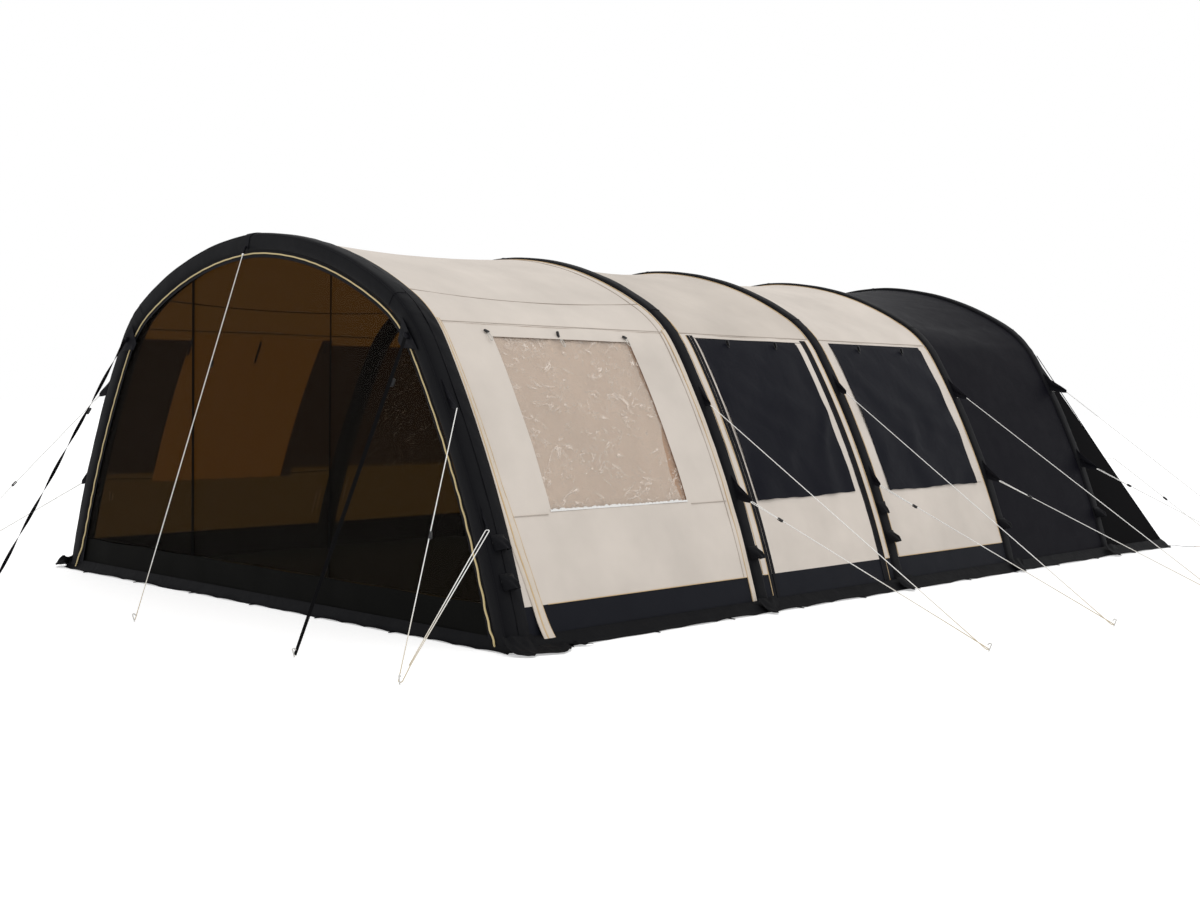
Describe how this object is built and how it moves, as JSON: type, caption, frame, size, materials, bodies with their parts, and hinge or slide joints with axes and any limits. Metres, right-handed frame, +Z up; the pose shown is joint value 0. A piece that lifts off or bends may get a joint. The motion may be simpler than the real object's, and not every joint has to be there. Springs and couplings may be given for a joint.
{
  "type": "inflatable tent",
  "caption": "Tunnel tent on inflatable arches, with a mesh front, a side door, covered windows, valve flaps and guy ropes.",
  "frame": {"origin": "under the middle of the groundsheet, on the ground", "axes": "+Z up, -Y out of the mesh front, +Y towards the sloping rear, +X to the side with the side door"},
  "size_m": [7.7586, 8.695, 2.195],
  "materials": {
    "sleeve_fabric": "matt coated polyester",
    "air_tube": "smooth",
    "roof_fabric": "matt woven cotton blend",
    "wall_fabric": "matt woven cotton blend",
    "rear_fabric": "matt coated polyester",
    "window_film": "clear film",
    "curtain_fabric": "matt woven",
    "flap_fabric": "matt coated polyester",
    "rope": "braided",
    "strap": "woven webbing",
    "mesh": "fine insect mesh",
    "sheet": "laid and welded sheet"
  },
  "bodies": {
    "tent": {"air_beam_1": "air_tube", "air_beam_2": "air_tube", "air_beam_3": "air_tube", "air_beam_4": "air_tube", "air_beam_5": "air_tube", "beam_sleeve_1": "sleeve_fabric", "beam_sleeve_2": "sleeve_fabric", "beam_sleeve_3": "sleeve_fabric", "beam_sleeve_4": "sleeve_fabric", "beam_sleeve_5": "sleeve_fabric", "curtain_left": "curtain_fabric", "curtain_right": "curtain_fabric", "front_mesh_left": "mesh", "front_mesh_right": "mesh", "groundsheet": "sheet", "guy_rope_front": "rope", "guy_rope_left_1": "rope", "guy_rope_left_2": "rope", "guy_rope_left_3": "rope", "guy_rope_left_4": "rope", "guy_rope_left_5": "rope", "guy_rope_rear_left": "rope", "guy_rope_rear_right": "rope", "guy_rope_right_1": "rope", "guy_rope_right_2": "rope", "guy_rope_right_3": "rope", "guy_rope_right_4": "rope", "guy_rope_right_5": "rope", "rear_canopy": "rear_fabric", "rear_wall": "rear_fabric", "roof_panel_1": "roof_fabric", "roof_panel_2": "roof_fabric", "roof_panel_3": "roof_fabric", "side_wall_left_1": "wall_fabric", "side_wall_left_2": "wall_fabric", "side_wall_left_3": "wall_fabric", "side_wall_right_1": "wall_fabric", "side_wall_right_2": "wall_fabric", "side_wall_right_3": "wall_fabric", "storm_strap_left": "strap", "storm_strap_right": "strap", "window_left_1": "window_film", "window_left_2": "window_film", "window_left_3": "window_film", "window_right_1": "window_film", "window_right_3": "window_film"},
    "front_door": {"front_door": "mesh"},
    "side_door": {"side_door": "wall_fabric", "window_right_2": "window_film"},
    "window_flap_right_2": {"window_flap_right_2": "flap_fabric"},
    "window_flap_right_3": {"window_flap_right_3": "flap_fabric"},
    "window_flap_left_2": {"window_flap_left_2": "flap_fabric"},
    "window_flap_left_3": {"window_flap_left_3": "flap_fabric"},
    "valve_flap_1_upper": {"valve_flap_1_upper": "flap_fabric"},
    "valve_flap_1_lower": {"valve_flap_1_lower": "flap_fabric"},
    "valve_flap_2": {"valve_flap_2": "flap_fabric"},
    "valve_flap_3_upper": {"valve_flap_3_upper": "flap_fabric"},
    "valve_flap_3_lower": {"valve_flap_3_lower": "flap_fabric"},
    "valve_flap_4": {"valve_flap_4": "flap_fabric"},
    "valve_flap_5": {"valve_flap_5": "flap_fabric"}
  },
  "joints": [
    {"name": "front_door_swing", "type": "hinge", "parent": "tent", "child": "front_door", "pos_m": [0.71, -3.702, 0.22], "axis": [0, 0, -1], "range_deg": [0, 70]},
    {"name": "side_door_swing", "type": "hinge", "parent": "tent", "child": "side_door", "pos_m": [2.20633, -1.6117, 0.083], "axis": [0.4169, 0, -0.909], "range_deg": [0, 90]},
    {"name": "window_flap_right_2_lift", "type": "hinge", "parent": "side_door", "child": "window_flap_right_2", "pos_m": [1.44741, -1.042, 1.59018], "axis": [0, -1, 0], "range_deg": [0, 95]},
    {"name": "window_flap_right_3_lift", "type": "hinge", "parent": "tent", "child": "window_flap_right_3", "pos_m": [1.44741, 0.462, 1.59018], "axis": [0, -1, 0], "range_deg": [0, 95]},
    {"name": "window_flap_left_2_lift", "type": "hinge", "parent": "tent", "child": "window_flap_left_2", "pos_m": [-1.44741, -1.042, 1.59018], "axis": [0, 1, 0], "range_deg": [0, 95]},
    {"name": "window_flap_left_3_lift", "type": "hinge", "parent": "tent", "child": "window_flap_left_3", "pos_m": [-1.44741, 0.462, 1.59018], "axis": [0, 1, 0], "range_deg": [0, 95]},
    {"name": "valve_flap_1_upper_lift", "type": "hinge", "parent": "tent", "child": "valve_flap_1_upper", "pos_m": [1.9884, -3.755, 0.5639], "axis": [0, -1, 0], "range_deg": [0, 95]},
    {"name": "valve_flap_1_lower_lift", "type": "hinge", "parent": "tent", "child": "valve_flap_1_lower", "pos_m": [2.06029, -3.755, 0.37796], "axis": [0, -1, 0], "range_deg": [0, 95]},
    {"name": "valve_flap_2_lift", "type": "hinge", "parent": "tent", "child": "valve_flap_2", "pos_m": [2.06029, -1.752, 0.37796], "axis": [0, -1, 0], "range_deg": [0, 95]},
    {"name": "valve_flap_3_upper_lift", "type": "hinge", "parent": "tent", "child": "valve_flap_3_upper", "pos_m": [1.9884, -0.278, 0.5639], "axis": [0, -1, 0], "range_deg": [0, 95]},
    {"name": "valve_flap_3_lower_lift", "type": "hinge", "parent": "tent", "child": "valve_flap_3_lower", "pos_m": [2.06029, -0.278, 0.37796], "axis": [0, -1, 0], "range_deg": [0, 95]},
    {"name": "valve_flap_4_lift", "type": "hinge", "parent": "tent", "child": "valve_flap_4", "pos_m": [2.06029, 1.218, 0.37796], "axis": [0, -1, 0], "range_deg": [0, 95]},
    {"name": "valve_flap_5_lift", "type": "hinge", "parent": "tent", "child": "valve_flap_5", "pos_m": [2.06054, 2.765, 0.38501], "axis": [0, -1, 0], "range_deg": [0, 95]}
  ]
}
